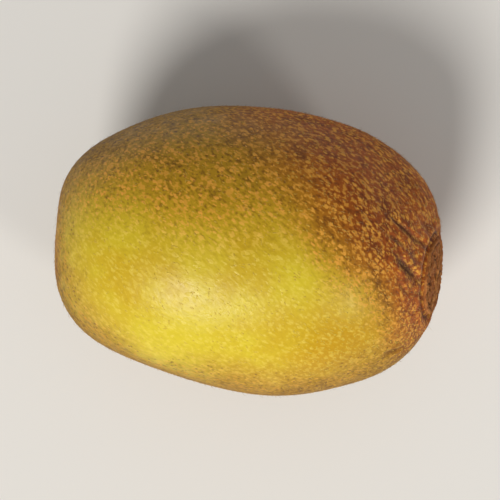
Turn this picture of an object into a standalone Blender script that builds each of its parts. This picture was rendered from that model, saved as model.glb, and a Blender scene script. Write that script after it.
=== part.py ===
"""A golden kiwi fruit, whole, lying on its side on a small flat spot.

Metres, +Z up. +X runs along the fruit, from its blossom end to its stem end. The origin is on the
surface that the fruit rests on, under the middle of the body.
"""

import math

import bmesh
import bpy
from mathutils import Matrix, Vector

# Driving dimensions
LENGTH = 0.070
WIDTH = 0.052
HEIGHT = 0.050
REST_SPOT_DEPTH = 0.0004  # how much of the round underside the flat spot takes away
FULLNESS = 2.26  # exponent of the side outline, where 2 is an ellipse and more is fuller

# The stem end: a shallow hollow with a corky round scar in a narrow groove
STEM_HOLLOW_RADIUS = 0.0110
STEM_HOLLOW_DEPTH = 0.0009
STEM_SCAR_RADIUS = 0.0071
STEM_SCAR_RISE = 0.0005
STEM_GROOVE_WIDTH = 0.0012
STEM_GROOVE_DEPTH = 0.0005
STEM_TURN_START = 0.016  # from here along X the body bends towards its stem end
STEM_TURN_UP = math.radians(17.0)
STEM_SHIFT_ASIDE = 0.0017  # how far the stem end lies off the middle, towards -Y

# The blossom end: a shallow hollow with the stub of the dried flower
BLOSSOM_HOLLOW_RADIUS = 0.0075
BLOSSOM_HOLLOW_DEPTH = 0.0012
BLOSSOM_STUB_RADIUS = 0.0024
BLOSSOM_STUB_RISE = 0.0007

# Where the grown body swells or lies flat: direction from its middle, spread in degrees, rise
BODY_SWELLS = (
    (Vector((-0.42, -0.90, 0.10)), 22.0, -0.0013),
    (Vector((0.26, -0.96, -0.10)), 26.0, 0.0006),
    (Vector((-0.80, -0.58, 0.00)), 20.0, 0.0007),
    (Vector((-0.62, 0.76, 0.18)), 20.0, -0.0008),
    (Vector((-0.88, 0.46, 0.10)), 20.0, 0.0007),
    (Vector((0.82, 0.57, 0.10)), 19.0, 0.0017),
    (Vector((0.10, 0.20, 0.97)), 40.0, -0.0003),
)

STEPS_AROUND = 48
BODY_RING_STEP = 5.0  # degrees along the side outline
FIRST_BODY_RING = 20.0
LAST_BODY_RING = 165.0

SKIN_COLOUR = (0.56, 0.37, 0.045, 1.0)
SKIN_ROUGHNESS = 0.5


def clear_scene():
    for obj in list(bpy.data.objects):
        bpy.data.objects.remove(obj, do_unlink=True)


def skin_material():
    material = bpy.data.materials.new("golden_skin")
    material.use_nodes = True
    shader = material.node_tree.nodes["Principled BSDF"]
    shader.inputs["Base Color"].default_value = SKIN_COLOUR
    shader.inputs["Roughness"].default_value = SKIN_ROUGHNESS
    shader.inputs["Metallic"].default_value = 0.0
    return material


def reach_at(radius):
    """How far along X the plain side outline lies at this distance from the axis."""
    share = min(1.0, radius / (WIDTH / 2))
    return LENGTH / 2 * (1.0 - share**FULLNESS) ** (1.0 / FULLNESS)


def hollow(radius, hollow_radius, depth):
    """A smooth bell-shaped hollow around the axis."""
    return depth * math.exp(-((radius / hollow_radius) ** 2) * 1.5)


def stem_end_points():
    """(x, radius) from the middle of the scar out over its rim and groove to the shoulder."""
    scar = STEM_SCAR_RADIUS
    groove_end = scar + STEM_GROOVE_WIDTH
    groove_middle = scar + STEM_GROOVE_WIDTH / 2
    offsets = (
        (0.0, 0.4 * STEM_SCAR_RISE),
        (0.30 * scar, 0.5 * STEM_SCAR_RISE),
        (0.62 * scar, 0.6 * STEM_SCAR_RISE),
        (0.88 * scar, STEM_SCAR_RISE),
        (scar, 0.7 * STEM_SCAR_RISE),
        (groove_middle, -STEM_GROOVE_DEPTH),
        (groove_end, 0.0),
    )
    points = []
    for radius, rise in offsets:
        x = reach_at(radius) - hollow(radius, STEM_HOLLOW_RADIUS, STEM_HOLLOW_DEPTH) + rise
        points.append((x, radius))
    return points


def blossom_end_points():
    """(x, radius) from the skin of the hollow in to the middle of the dried stub."""
    stub = BLOSSOM_STUB_RADIUS
    offsets = (
        (2.6 * stub, 0.0),
        (1.9 * stub, 0.0),
        (1.25 * stub, 0.0),
        (0.95 * stub, 0.7 * BLOSSOM_STUB_RISE),
        (0.5 * stub, BLOSSOM_STUB_RISE),
        (0.0, 0.8 * BLOSSOM_STUB_RISE),
    )
    points = []
    for radius, rise in offsets:
        depth = hollow(radius, BLOSSOM_HOLLOW_RADIUS, BLOSSOM_HOLLOW_DEPTH)
        points.append((-reach_at(radius) + depth - rise, radius))
    return points


def body_points():
    """(x, radius) along the side outline between the two ends."""
    points = []
    rings = round((LAST_BODY_RING - FIRST_BODY_RING) / BODY_RING_STEP)
    for ring in range(rings + 1):
        angle = math.radians(FIRST_BODY_RING + ring * BODY_RING_STEP)
        along = math.copysign(abs(math.cos(angle)) ** (2.0 / FULLNESS), math.cos(angle))
        radius = WIDTH / 2 * math.sin(angle) ** (2.0 / FULLNESS)
        x = LENGTH / 2 * along
        if x > 0.0:
            x -= hollow(radius, STEM_HOLLOW_RADIUS, STEM_HOLLOW_DEPTH)
        else:
            x += hollow(radius, BLOSSOM_HOLLOW_RADIUS, BLOSSOM_HOLLOW_DEPTH)
        points.append((x, radius))
    return points


def turn_profile(mesh):
    """Turns the side outline once round the X axis into a closed body."""
    outline = stem_end_points() + body_points() + blossom_end_points()
    corners = [mesh.verts.new((x, radius, 0.0)) for x, radius in outline]
    edges = [mesh.edges.new(pair) for pair in zip(corners, corners[1:])]
    bmesh.ops.spin(
        mesh,
        geom=corners + edges,
        cent=(0.0, 0.0, 0.0),
        axis=(1.0, 0.0, 0.0),
        angle=math.tau,
        steps=STEPS_AROUND,
        use_merge=True,
    )
    bmesh.ops.remove_doubles(mesh, verts=mesh.verts, dist=0.00001)
    bmesh.ops.recalc_face_normals(mesh, faces=mesh.faces)


def swell_body(mesh):
    """Moves the round body in or out, as the real fruit grew."""
    for corner in mesh.verts:
        place = corner.co
        direction = Vector((place.x / LENGTH, place.y / WIDTH, place.z / WIDTH)).normalized()
        rise = 0.0
        for middle, spread, height in BODY_SWELLS:
            apart = math.degrees(direction.angle(middle))
            rise += height * math.exp(-((apart / spread) ** 2))
        corner.co = place + direction * rise


def bend_stem_end(mesh):
    """Turns the stem end up and moves it aside, by a smooth bend."""
    pivot = Vector((STEM_TURN_START, 0.0, 0.0))
    for corner in mesh.verts:
        share = (corner.co.x - STEM_TURN_START) / (LENGTH / 2 - STEM_TURN_START)
        share = min(max(share, 0.0), 1.0)
        turned = share * share * (3.0 - 2.0 * share)
        up = Matrix.Rotation(-turned * STEM_TURN_UP, 3, "Y")
        aside = Vector((0.0, -turned * STEM_SHIFT_ASIDE, 0.0))
        corner.co = pivot + up @ (corner.co - pivot) + aside


def fit_to_dimensions(mesh):
    """Scales the body to its driving dimensions and stands it on z = 0, less the rest spot."""
    lowest = Vector([min(corner.co[axis] for corner in mesh.verts) for axis in range(3)])
    highest = Vector([max(corner.co[axis] for corner in mesh.verts) for axis in range(3)])
    wanted = Vector((LENGTH, WIDTH, HEIGHT + REST_SPOT_DEPTH))
    size = highest - lowest
    middle = (lowest + highest) / 2
    scale = Matrix.Diagonal([wanted[axis] / size[axis] for axis in range(3)]).to_4x4()
    lift = Vector((0.0, 0.0, wanted.z / 2 - REST_SPOT_DEPTH))
    bmesh.ops.transform(
        mesh,
        matrix=Matrix.Translation(lift) @ scale @ Matrix.Translation(-middle),
        verts=mesh.verts,
    )


def cut_rest_spot(mesh):
    """Cuts the underside off at z = 0 and closes it with one flat face."""
    everything = mesh.verts[:] + mesh.edges[:] + mesh.faces[:]
    bmesh.ops.bisect_plane(
        mesh,
        geom=everything,
        plane_co=(0.0, 0.0, 0.0),
        plane_no=(0.0, 0.0, -1.0),
        clear_outer=True,
    )
    rim = [edge for edge in mesh.edges if edge.is_boundary]
    bmesh.ops.edgeloop_fill(mesh, edges=rim)
    bmesh.ops.recalc_face_normals(mesh, faces=mesh.faces)


def make_kiwi_fruit():
    mesh = bmesh.new()
    turn_profile(mesh)
    swell_body(mesh)
    bend_stem_end(mesh)
    fit_to_dimensions(mesh)
    cut_rest_spot(mesh)
    data = bpy.data.meshes.new("kiwi_fruit")
    mesh.to_mesh(data)
    mesh.free()
    data.shade_smooth()
    data.set_sharp_from_angle(angle=math.radians(40.0))
    data.materials.append(skin_material())
    fruit = bpy.data.objects.new("kiwi_fruit", data)
    bpy.context.scene.collection.objects.link(fruit)
    return fruit


def main():
    clear_scene()
    make_kiwi_fruit()


main()
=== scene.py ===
"""The looks of a golden kiwi fruit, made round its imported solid.

Laid out as an add-on and run as a script. Metres, +Z up. +X runs along the fruit from its blossom
end to its stem end.
"""

import math

import bpy
import numpy as np
from bpy.props import FloatProperty, FloatVectorProperty, IntProperty, PointerProperty
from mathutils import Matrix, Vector, noise


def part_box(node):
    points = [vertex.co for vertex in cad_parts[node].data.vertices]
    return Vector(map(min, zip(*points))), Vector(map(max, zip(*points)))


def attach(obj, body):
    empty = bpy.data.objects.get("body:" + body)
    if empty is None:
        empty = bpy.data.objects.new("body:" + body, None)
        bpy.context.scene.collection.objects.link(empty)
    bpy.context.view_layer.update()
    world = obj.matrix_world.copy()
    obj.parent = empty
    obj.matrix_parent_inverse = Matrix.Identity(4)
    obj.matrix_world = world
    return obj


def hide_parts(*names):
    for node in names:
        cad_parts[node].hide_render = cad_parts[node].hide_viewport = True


bl_info = {
    "name": "Golden Kiwi Fruit",
    "version": (1, 0, 0),
    "blender": (4, 5, 0),
    "location": "3D View > Sidebar > Kiwi Fruit",
    "description": "Builds a whole golden kiwi fruit, from its skin to its finest hairs",
    "category": "Add Mesh",
}

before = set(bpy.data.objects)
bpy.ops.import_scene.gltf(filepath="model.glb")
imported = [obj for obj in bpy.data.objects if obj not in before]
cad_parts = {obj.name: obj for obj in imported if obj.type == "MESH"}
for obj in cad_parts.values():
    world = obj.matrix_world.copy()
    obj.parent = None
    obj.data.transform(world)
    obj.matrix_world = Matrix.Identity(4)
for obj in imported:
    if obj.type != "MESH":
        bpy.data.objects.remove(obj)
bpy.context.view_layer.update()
FRUIT_LOW, FRUIT_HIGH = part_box("kiwi_fruit")
FRUIT_SIZE = FRUIT_HIGH - FRUIT_LOW

MM = 0.001
TAU = math.tau

# Where the grown body swells or lies flat: direction from its middle, spread in degrees, rise
BODY_SWELLS = (
    ((-0.42, -0.90, 0.10), 22.0, -1.3 * MM),
    ((0.26, -0.96, -0.10), 26.0, 0.6 * MM),
    ((-0.80, -0.58, 0.00), 20.0, 0.7 * MM),
    ((-0.62, 0.76, 0.18), 20.0, -0.8 * MM),
    ((-0.88, 0.46, 0.10), 20.0, 0.7 * MM),
    ((0.82, 0.57, 0.10), 19.0, 1.7 * MM),
    ((0.10, 0.20, 0.97), 40.0, -0.3 * MM),
)

# Reach of the finely meshed skin round each end
STEM_ZONE = 16.0 * MM
BLOSSOM_ZONE = 11.0 * MM

# Steps of the coarse body that finds the scale, and softness of the rest spot's edge
FIT_STEPS = 181
REST_SOFTNESS = 0.08 * MM

# How far inside the fruit the stem scar's disc and the flower's stub are closed
SCAR_FOOT = 2.0 * MM
HUB_FOOT = 1.5 * MM

# Creases that show on top of the stem end: from and to, seen from above, then width and depth
TOP_CREASES = (
    ((23.4 * MM, 8.2 * MM), (30.9 * MM, 3.0 * MM), 0.70 * MM, 0.34 * MM),
    ((22.4 * MM, 5.0 * MM), (26.6 * MM, 3.2 * MM), 0.60 * MM, 0.24 * MM),
    ((25.3 * MM, 1.6 * MM), (29.5 * MM, -2.9 * MM), 1.15 * MM, 0.55 * MM),
    ((25.6 * MM, -3.4 * MM), (28.6 * MM, -5.2 * MM), 0.60 * MM, 0.22 * MM),
    ((25.3 * MM, -16.3 * MM), (28.9 * MM, -14.5 * MM), 0.65 * MM, 0.34 * MM),
)

# Open cracks in the cork: from and to, in shares of its radius to the right and up, then width
SCAR_CRACKS = (
    ((-0.36, -0.20), (-0.13, -0.29), 0.055),
    ((-0.01, -0.19), (-0.13, -0.29), 0.045),
    ((-0.13, -0.29), (0.11, -0.50), 0.075),
    ((0.22, -0.11), (0.46, -0.21), 0.065),
    ((0.46, -0.21), (0.71, -0.17), 0.050),
    ((0.06, 0.71), (0.33, 0.60), 0.055),
    ((-0.67, 0.40), (-0.73, 0.14), 0.045),
    ((-0.42, 0.40), (-0.20, 0.50), 0.045),
    ((0.44, 0.28), (0.60, 0.44), 0.040),
    ((-0.56, -0.48), (-0.38, -0.62), 0.050),
)

# Middles of the deep golden patch on the belly and of the darker patch by the stem end
GOLD_PATCH = (17.4 * MM, -17.6 * MM, 42.0 * MM)
DARK_PATCH = (20.5 * MM, 8.0 * MM, 46.0 * MM)

# Reach of the fine and of the broad creases beyond the stem scar
FINE_CREASE_REACH = 6.5 * MM
BROAD_CREASE_REACH = 11.0 * MM

# How far the creases on top wander, and the depth at which a crease has its full painted shade
CREASE_WANDER = 0.55 * MM
FULL_CREASE_DEPTH = 0.4 * MM

# Raised collar outside the stem scar's groove: how far out, how wide and how high
COLLAR_OUT = 1.7 * MM
COLLAR_WIDTH = 1.0 * MM
COLLAR_HEIGHT = 0.22 * MM

# Folds of the blossom end: their reach, and where they begin beside its middle
FOLD_REACH = 6.0 * MM
FOLD_START = (0.4 * MM, 1.6 * MM)

# How far noise moves the edges of the zones of colour: broad and fine, sideways, and in height
EDGE_WANDER = 3.2 * MM
EDGE_FRAY = 1.2 * MM
SIDE_WANDER = 4.0 * MM
HEIGHT_WANDER = 2.5 * MM
HEIGHT_FRAY = 2.0 * MM

# Where each zone of colour begins and ends: distance from its middle, place across, or height
RUSSET_REACH = (14.0 * MM, 33.0 * MM)
OLIVE_SIDE = (-6.5 * MM, 14.0 * MM)
HALO_REACH = (2.5 * MM, 13.0 * MM)
# The under zone darkens the lower flanks and the underside: painted shade
UNDER_HEIGHT = (28.5 * MM, 43.5 * MM)
GOLD_REACH = (4.0 * MM, 17.0 * MM)
GOLD_BAND_HEIGHT = (37.0 * MM, 46.0 * MM)
GOLD_BAND_ALONG = (-14.0 * MM, 4.0 * MM)
DARK_REACH = (2.0 * MM, 13.0 * MM)

# Rings of the cork, as shares of its radius: raised rim, groove inside it, and curl in the middle
RIM_AT = 0.92
RIM_GROOVE_AT = 0.82
CURL_AT = 0.17

# How high a dried flower tip lies over the skin, how high it bows and how far it is kinked
STRAND_GAP = 0.10 * MM
STRAND_LIFT = 0.42 * MM
STRAND_KINK = 0.16 * MM

# Height of the stub's dome and of its lumps, and how deep its edge is sunk
HUB_DOME = 0.30 * MM
HUB_LUMPS = 0.15 * MM
HUB_SUNK = 0.10 * MM

# Points along a dried flower tip and round it, then rings and steps of the stub
STRAND_POINTS = 12
STRAND_SIDES = 6
HUB_RINGS = 18
HUB_STEPS = 48

# Points round a dash and round a hair
DASH_STEPS = 8
HAIR_SIDES = 3

# The two rings of a dash: share of its size and share of its rise
DASH_RINGS = ((1.0, -0.30), (0.55, 0.80))

# How far from the stem scar's middle dashes and hairs begin, and how far the crowd of dashes goes
DASH_CLEARANCE = (8.6 * MM, 10.5 * MM)
DASH_CROWD = (12.0 * MM, 45.0 * MM)
HAIR_CLEARANCE = (8.0 * MM, 9.5 * MM)

# Height above the floor where dashes and hairs begin, and how deep a hair is rooted
DASH_LEAST_HEIGHT = 0.6 * MM
HAIR_LEAST_HEIGHT = 1.0 * MM
HAIR_ROOT_DEPTH = 0.05 * MM

# Direction to each lamp, how wide it looks in radians, and its colour
KEY_LAMP = ((-0.27, -0.67, 0.69), 0.42, (1.0, 0.97, 0.92))
SIDE_LAMP = ((0.66, -0.53, 0.54), 0.20, (1.0, 0.96, 0.90))
SENSOR_WIDTH = 36.0


def length_setting(name, description, default, least=0.0):
    """A length that a user can change."""
    return FloatProperty(
        name=name, description=description, default=default, min=least, unit="LENGTH"
    )


def angle_setting(name, description, default):
    """An angle that a user can change."""
    return FloatProperty(name=name, description=description, default=default, unit="ROTATION")


def colour_setting(name, description, default):
    """A colour that a user can change."""
    return FloatVectorProperty(
        name=name, description=description, default=default, min=0.0, max=1.0, subtype="COLOR"
    )


def number_setting(name, description, default, least=0.0):
    """A plain number that a user can change."""
    return FloatProperty(name=name, description=description, default=default, min=least)


def count_setting(name, description, default, least=1):
    """A whole number that a user can change."""
    return IntProperty(name=name, description=description, default=default, min=least)


class KiwiShape(bpy.types.PropertyGroup):
    """The grown body and its two ends."""

    length: length_setting("Length", "From the blossom end to the stem end", FRUIT_SIZE.x, 0.02)
    width: length_setting(
        "Width", "Across the fruit, level with the surface that it rests on", FRUIT_SIZE.y, 0.02
    )
    height: length_setting("Height", "From the rest spot to the top", FRUIT_SIZE.z, 0.02)
    rest_spot_depth: length_setting(
        "Rest spot depth", "How much of the round underside is pressed flat", 0.4 * MM
    )
    fullness: FloatProperty(
        name="Fullness",
        description="Exponent of the side outline: 2 is an ellipse, more is fuller",
        default=2.26,
        min=1.5,
        max=4.0,
    )
    stem_hollow_radius: length_setting(
        "Stem hollow radius", "Reach of the shallow hollow around the stem scar", 11.0 * MM
    )
    stem_hollow_depth: length_setting(
        "Stem hollow depth", "Depth of the hollow around the stem scar", 0.9 * MM
    )
    stem_turn_start: FloatProperty(
        name="Stem turn start",
        description="Place along the fruit where it begins to bend towards its stem end",
        default=16.0 * MM,
        unit="LENGTH",
    )
    stem_turn_up: angle_setting("Stem turn up", "How far the stem end looks up", math.radians(17.0))
    stem_shift_aside: FloatProperty(
        name="Stem shift aside",
        description="How far the stem end lies off the middle",
        default=1.7 * MM,
        unit="LENGTH",
    )
    blossom_hollow_radius: length_setting(
        "Blossom hollow radius", "Reach of the shallow hollow around the dried flower", 7.5 * MM
    )
    blossom_hollow_depth: length_setting(
        "Blossom hollow depth", "Depth of the hollow around the dried flower", 1.2 * MM
    )


class KiwiSkin(bpy.types.PropertyGroup):
    """The relief and the colours of the skin."""

    steps_around: count_setting("Steps around", "Points round the fruit", 336, 24)
    stem_rings: count_setting("Stem rings", "Rings of points in the creased stem end", 92, 8)
    body_rings: count_setting("Body rings", "Rings of points along the body", 122, 8)
    blossom_rings: count_setting("Blossom rings", "Rings of points in the blossom end", 60, 8)
    lump_height: length_setting(
        "Lump height", "Height of the broad soft lumps of the body", 0.13 * MM
    )
    grain_height: length_setting("Grain height", "Height of the leathery grain", 0.028 * MM)
    stem_crease_depth: length_setting(
        "Stem crease depth", "Depth of the puckered creases that run to the stem scar", 0.34 * MM
    )
    blossom_crease_depth: length_setting(
        "Blossom crease depth", "Depth of the folds that run to the dried flower", 0.30 * MM
    )
    yellow: colour_setting("Yellow", "Colour of the sunlit belly", (0.63, 0.50, 0.022))
    gold: colour_setting("Gold", "Deeper golden colour in large soft patches", (0.52, 0.295, 0.004))
    # Partly the skin's own olive-brown and partly painted shade: darker on the side away from the
    # main lamp
    olive: colour_setting("Olive", "Olive-brown colour of the shaded side", (0.45, 0.25, 0.007))
    russet: colour_setting(
        "Russet", "Orange-brown colour around the stem end", (0.42, 0.095, 0.0045)
    )
    # Darker golden brown towards the bottom of the fruit: painted shade
    under_shade_brown: colour_setting(
        "Under brown", "Golden brown of the lower flanks and the underside", (0.235, 0.105, 0.002)
    )
    # Dark colour laid into the bottom of the creases, the groove and the folds: painted shade
    crease_shade_brown: colour_setting(
        "Crease brown", "Dark colour in the bottom of the creases", (0.085, 0.026, 0.008)
    )
    # Darker dash colour for the lower flanks and the underside, part of the painted shade there
    dash_brown: colour_setting(
        "Dash brown", "Colour of the pale dashes on the underside", (0.40, 0.22, 0.018)
    )
    shade_tint: colour_setting(
        "Shade tint",
        "What the dark streaks let through of the colour under them",
        (0.40, 0.31, 0.22),
    )
    speck_brown: colour_setting(
        "Speck brown", "Colour of the tiny dark specks", (0.13, 0.050, 0.008)
    )
    dash_gold: colour_setting(
        "Dash gold", "Colour of the pale dashes in the yellow skin", (0.80, 0.64, 0.10)
    )
    dash_tan: colour_setting(
        "Dash tan", "Colour of the pale dashes in the brown skin", (0.78, 0.36, 0.045)
    )


class KiwiStemScar(bpy.types.PropertyGroup):
    """The round corky scar that the stalk left."""

    radius: length_setting("Radius", "Radius of the corky disc", 7.1 * MM, 0.001)
    relief: length_setting("Relief", "Height of the cork's rim over its deepest crack", 0.55 * MM)
    groove_width: length_setting("Groove width", "Width of the groove around the disc", 1.2 * MM)
    groove_depth: length_setting("Groove depth", "Depth of the groove around the disc", 0.6 * MM)
    cork: colour_setting("Cork", "Colour of the dry cork", (0.30, 0.080, 0.013))
    pale_cork: colour_setting("Pale cork", "Colour of the cork's worn rim", (0.62, 0.26, 0.065))
    # Dark colour of the cork's fibre streaks, and painted shade in its cracks, crevices, grooves,
    # middle pit and low places
    fibre_and_crack_shade_brown: colour_setting("Crack brown", "Colour deep in the cracks", (0.050, 0.018, 0.007))


class KiwiFlowerRemains(bpy.types.PropertyGroup):
    """The dried tips of the flower in the blossom end."""

    strands: count_setting("Strands", "Number of dried flower tips", 58)
    reach: length_setting(
        "Reach", "How far the longest tip reaches from the middle", 3.8 * MM, 0.001
    )
    thickness: length_setting("Thickness", "Thickness of a tip at its foot", 0.27 * MM, 0.0001)
    hub_radius: length_setting(
        "Hub radius", "Radius of the dry stub that the tips grow from", 1.9 * MM, 0.0001
    )
    dry_brown: colour_setting("Dry brown", "Colour of the dried flower", (0.070, 0.032, 0.014))
    seed: count_setting("Seed", "Changes how the tips lie", 5, 0)


class KiwiLenticels(bpy.types.PropertyGroup):
    """The small raised corky dashes in the skin."""

    count: count_setting("Count", "Number of dashes", 4600)
    length: length_setting("Length", "Usual length of a dash", 0.62 * MM, 0.0001)
    width: length_setting("Width", "Usual width of a dash", 0.25 * MM, 0.0001)
    rise: length_setting("Rise", "Height of a dash above the skin", 0.055 * MM)
    gold: colour_setting("Gold", "Colour of the dashes in the yellow skin", (0.62, 0.44, 0.040))
    tan: colour_setting("Tan", "Colour of the paler dashes in the brown skin", (0.56, 0.27, 0.055))
    brown: colour_setting(
        "Brown", "Colour of the darker dashes in the brown skin", (0.30, 0.125, 0.022)
    )
    seed: count_setting("Seed", "Changes where the dashes are", 11, 0)


class KiwiHairs(bpy.types.PropertyGroup):
    """The short fine hairs that are left on the skin."""

    count: count_setting("Count", "Number of hairs", 5200)
    length: length_setting("Length", "Usual length of a hair", 0.62 * MM, 0.0001)
    thickness: length_setting("Thickness", "Thickness of a hair at its root", 0.042 * MM, 0.00001)
    colour: colour_setting("Colour", "Colour of the hairs", (0.58, 0.36, 0.09))
    seed: count_setting("Seed", "Changes where the hairs are", 23, 0)


class KiwiStage(bpy.types.PropertyGroup):
    """The floor, the lamps and the camera."""

    floor_side: length_setting("Floor side", "Length of the floor's sides", 6.0, 0.1)
    floor_colour: colour_setting(
        "Floor colour", "Colour of the plain pale floor", (0.80, 0.79, 0.77)
    )
    sky_colour: colour_setting(
        "Sky colour", "Colour of the soft light from all round", (1.0, 0.98, 0.95)
    )
    sky_strength: number_setting("Sky strength", "Strength of the soft light from all round", 0.28)
    backdrop_colour: colour_setting(
        "Backdrop colour", "Colour of the plain backdrop behind the floor", (0.741, 0.712, 0.662)
    )
    key_strength: number_setting("Key strength", "Strength of the main lamp", 2.62)
    side_strength: number_setting(
        "Side strength", "Strength of the small lamp at the stem end", 0.60
    )
    view_width: length_setting(
        "View width", "Width of the picture at the middle of the fruit", 90.9 * MM, 0.01
    )
    lens: number_setting("Lens", "Focal length in millimetres", 120.0, 1.0)
    roll: angle_setting(
        "Roll",
        "Turn of the camera, so that the stem end lies a little lower in the picture",
        math.radians(5.3),
    )


def plain_reach(radius, shape):
    """How far along X the plain side outline lies at this distance from the axis."""
    share = np.clip(radius / (shape.width / 2), 0.0, 1.0)
    return shape.length / 2 * (1.0 - share**shape.fullness) ** (1.0 / shape.fullness)


def radius_at(angle, shape):
    """How far from the axis the plain side outline lies at this angle along it."""
    return shape.width / 2 * np.abs(np.sin(angle)) ** (2.0 / shape.fullness)


def outline_angle(radius, shape):
    """The angle along the side outline at which it lies this far from the axis."""
    return np.arcsin((radius / (shape.width / 2)) ** (shape.fullness / 2))


def bell(distance, reach):
    """One at no distance, falling smoothly to nothing past the reach."""
    return np.exp(-((distance / reach) ** 2) * 1.5)


def smooth_step(low, high, value):
    share = np.clip((value - low) / (high - low), 0.0, 1.0)
    return share * share * (3.0 - 2.0 * share)


def noise_at(points, per_metre, shift=0.0):
    """Smooth noise from about -1 to 1 at each point."""
    places = points.reshape(-1, 3) * np.asarray(per_metre) + shift
    values = np.array([noise.noise(Vector(place)) for place in places])
    return values.reshape(points.shape[:-1])


def drift_at(points, per_metre, shifts):
    """Smooth noise at each point, in as many directions as there are shifts."""
    return np.stack([noise_at(points, per_metre, shift) for shift in shifts], axis=-1)


def on_circle(turn, radius=1.0, height=0.0):
    """Points round an upright axis."""
    level = np.zeros(turn.shape) + height
    return np.stack([np.cos(turn) * radius, np.sin(turn) * radius, level], axis=-1)


def turned_body(angle, turn, shape):
    """Points of the round body before it is swollen and bent: angle along it, turn about X."""
    radius = radius_at(angle, shape)
    along = np.abs(np.cos(angle)) ** (2.0 / shape.fullness)
    x = shape.length / 2 * np.sign(np.cos(angle)) * along
    stem_hollow = shape.stem_hollow_depth * bell(radius, shape.stem_hollow_radius)
    blossom_hollow = shape.blossom_hollow_depth * bell(radius, shape.blossom_hollow_radius)
    x = np.where(x > 0.0, x - stem_hollow, x + blossom_hollow)
    return np.stack([x, radius * np.cos(turn), radius * np.sin(turn)], axis=-1)


def swollen(points, shape):
    """Moves points of the round body in or out, as the real fruit grew."""
    stretch = np.array([shape.length, shape.width, shape.width])
    direction = points / stretch
    direction = direction / np.linalg.norm(direction, axis=-1, keepdims=True)
    rise = np.zeros(points.shape[:-1])
    for middle, spread, height in BODY_SWELLS:
        towards = np.array(middle) / np.linalg.norm(middle)
        apart = np.degrees(np.arccos(np.clip(direction @ towards, -1.0, 1.0)))
        rise += height * np.exp(-((apart / spread) ** 2))
    return points + direction * rise[..., None]


def bent(points, shape):
    """Turns the stem end up and moves it aside, by a smooth bend."""
    along = points[..., 0] - shape.stem_turn_start
    share = smooth_step(0.0, shape.length / 2 - shape.stem_turn_start, along)
    up = share * shape.stem_turn_up
    x = shape.stem_turn_start + along * np.cos(up) - points[..., 2] * np.sin(up)
    y = points[..., 1] - share * shape.stem_shift_aside
    z = along * np.sin(up) + points[..., 2] * np.cos(up)
    return np.stack([x, y, z], axis=-1)


def grown(points, shape):
    """Takes points of the round body to their place in the grown fruit."""
    scale, shift = fit_to_frame(shape)
    return bent(swollen(points, shape), shape) * scale + shift


def fit_to_frame(shape):
    """The scale and the shift that give the grown body the size and the place of the solid."""
    angles = np.linspace(0.0, math.pi, FIT_STEPS)
    angle, turn = np.meshgrid(angles, np.linspace(0.0, TAU, FIT_STEPS))
    body = bent(swollen(turned_body(angle, turn, shape), shape), shape)
    low = body.min(axis=(0, 1))
    high = body.max(axis=(0, 1))
    wanted = np.array([shape.length, shape.width, shape.height + shape.rest_spot_depth])
    scale = wanted / (high - low)
    middle = np.array((FRUIT_LOW + FRUIT_HIGH) / 2)
    middle[2] = FRUIT_HIGH.z - wanted[2] / 2
    return scale, middle - (low + high) / 2 * scale


def rested(points):
    """Presses what lies below the floor up on to it, with a soft edge."""
    flat = points.copy()
    height = points[..., 2] / REST_SOFTNESS
    pressed = REST_SOFTNESS * np.logaddexp(0.0, np.clip(height, -60.0, 60.0))
    flat[..., 2] = np.where(height > 60.0, points[..., 2], pressed)
    return flat


def over_end(side, radius, turn, rise, shape):
    """Points that rise over an end's hollow, not yet grown: side is 1 at the stem, -1 opposite."""
    if side > 0:
        hollow = shape.stem_hollow_depth * bell(radius, shape.stem_hollow_radius)
    else:
        hollow = shape.blossom_hollow_depth * bell(radius, shape.blossom_hollow_radius)
    x = side * (plain_reach(radius, shape) - hollow + rise)
    return np.stack([x, radius * np.cos(turn), radius * np.sin(turn)], axis=-1)


def beside_line(seen, start, end):
    """How far along a line each point lies, from 0 to 1, and its distance from the line."""
    start = np.array(start)
    run = np.array(end) - start
    share = np.clip(((seen - start) @ run) / (run @ run), 0.0, 1.0)
    return share, np.linalg.norm(seen - start - share[..., None] * run, axis=-1)


def add_mesh(name, points, faces):
    """A smooth-shaded mesh object in the scene."""
    data = bpy.data.meshes.new(name)
    data.from_pydata(points.tolist(), [], faces)
    data.validate()
    data.shade_smooth()
    obj = bpy.data.objects.new(name, data)
    bpy.context.scene.collection.objects.link(obj)
    return obj


def set_attributes(obj, **attributes):
    """Stores one number of each name for each point of the mesh, for its material to read."""
    for name, values in attributes.items():
        attribute = obj.data.attributes.new(name, "FLOAT", "POINT")
        attribute.data.foreach_set("value", np.asarray(values, np.float32))


def grid_faces(rings, around, first_pole, last_pole):
    """Faces of a closed body: rings of points between two poles, facing out."""
    faces = []
    for ring in range(rings - 1):
        for step in range(around):
            following = (step + 1) % around
            low = ring * around
            high = low + around
            faces.append((low + step, high + step, high + following, low + following))
    last = (rings - 1) * around
    for step in range(around):
        following = (step + 1) % around
        faces.append((first_pole, step, following))
        faces.append((last_pole, last + following, last + step))
    return faces


def closed_body(grid, last_pole):
    """Points and faces of a (ring, step, 3) grid, closed in its first ring and at a last point."""
    rings, steps = grid.shape[:2]
    points = np.vstack([grid.reshape(-1, 3), grid[0].mean(axis=0), last_pole])
    return points, grid_faces(rings, steps, rings * steps, rings * steps + 1)


def grid_normals(points):
    """Unit normals of a (ring, step, 3) grid that closes round on itself."""
    along = np.gradient(points, axis=0)
    around = np.roll(points, -1, axis=1) - np.roll(points, 1, axis=1)
    normals = np.cross(along, around)
    return normals / np.linalg.norm(normals, axis=-1, keepdims=True)


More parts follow.
